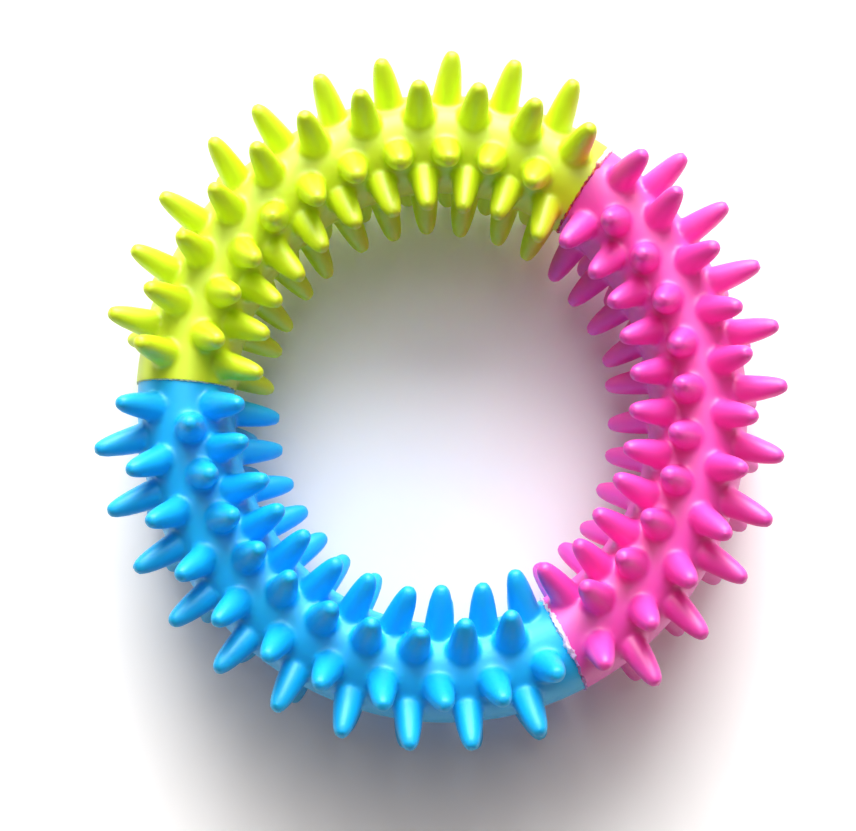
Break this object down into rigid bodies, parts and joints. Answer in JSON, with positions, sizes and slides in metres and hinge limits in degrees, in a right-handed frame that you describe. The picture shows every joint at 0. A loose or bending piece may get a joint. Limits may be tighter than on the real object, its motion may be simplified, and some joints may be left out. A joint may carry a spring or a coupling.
{
  "type": "dog chew ring",
  "caption": "Flexible rubber dog toy ring, set all round with rows of blunt spikes and made of bonded coloured arcs; thrown, tugged and chewed",
  "frame": {"origin": "on the ring's axis, at the height of the surface that the ring lies on", "axes": "+Z is the ring's axis, up from the resting surface; +Y points to the top of the picture and +X to its right"},
  "size_m": [0.1174, 0.1156, 0.0322],
  "materials": {
    "green_rubber": "glossy moulded, lime green",
    "blue_rubber": "glossy moulded, azure blue",
    "pink_rubber": "glossy moulded, hot pink",
    "bond": "clear flexible bonding, squeezed out at the seam"
  },
  "bodies": {
    "root": {"green_arc": "green_rubber", "blue_arc": "blue_rubber", "pink_arc": "pink_rubber", "pink_green_bond": "bond", "green_blue_bond": "bond", "blue_pink_bond": "bond"}
  },
  "joints": []
}
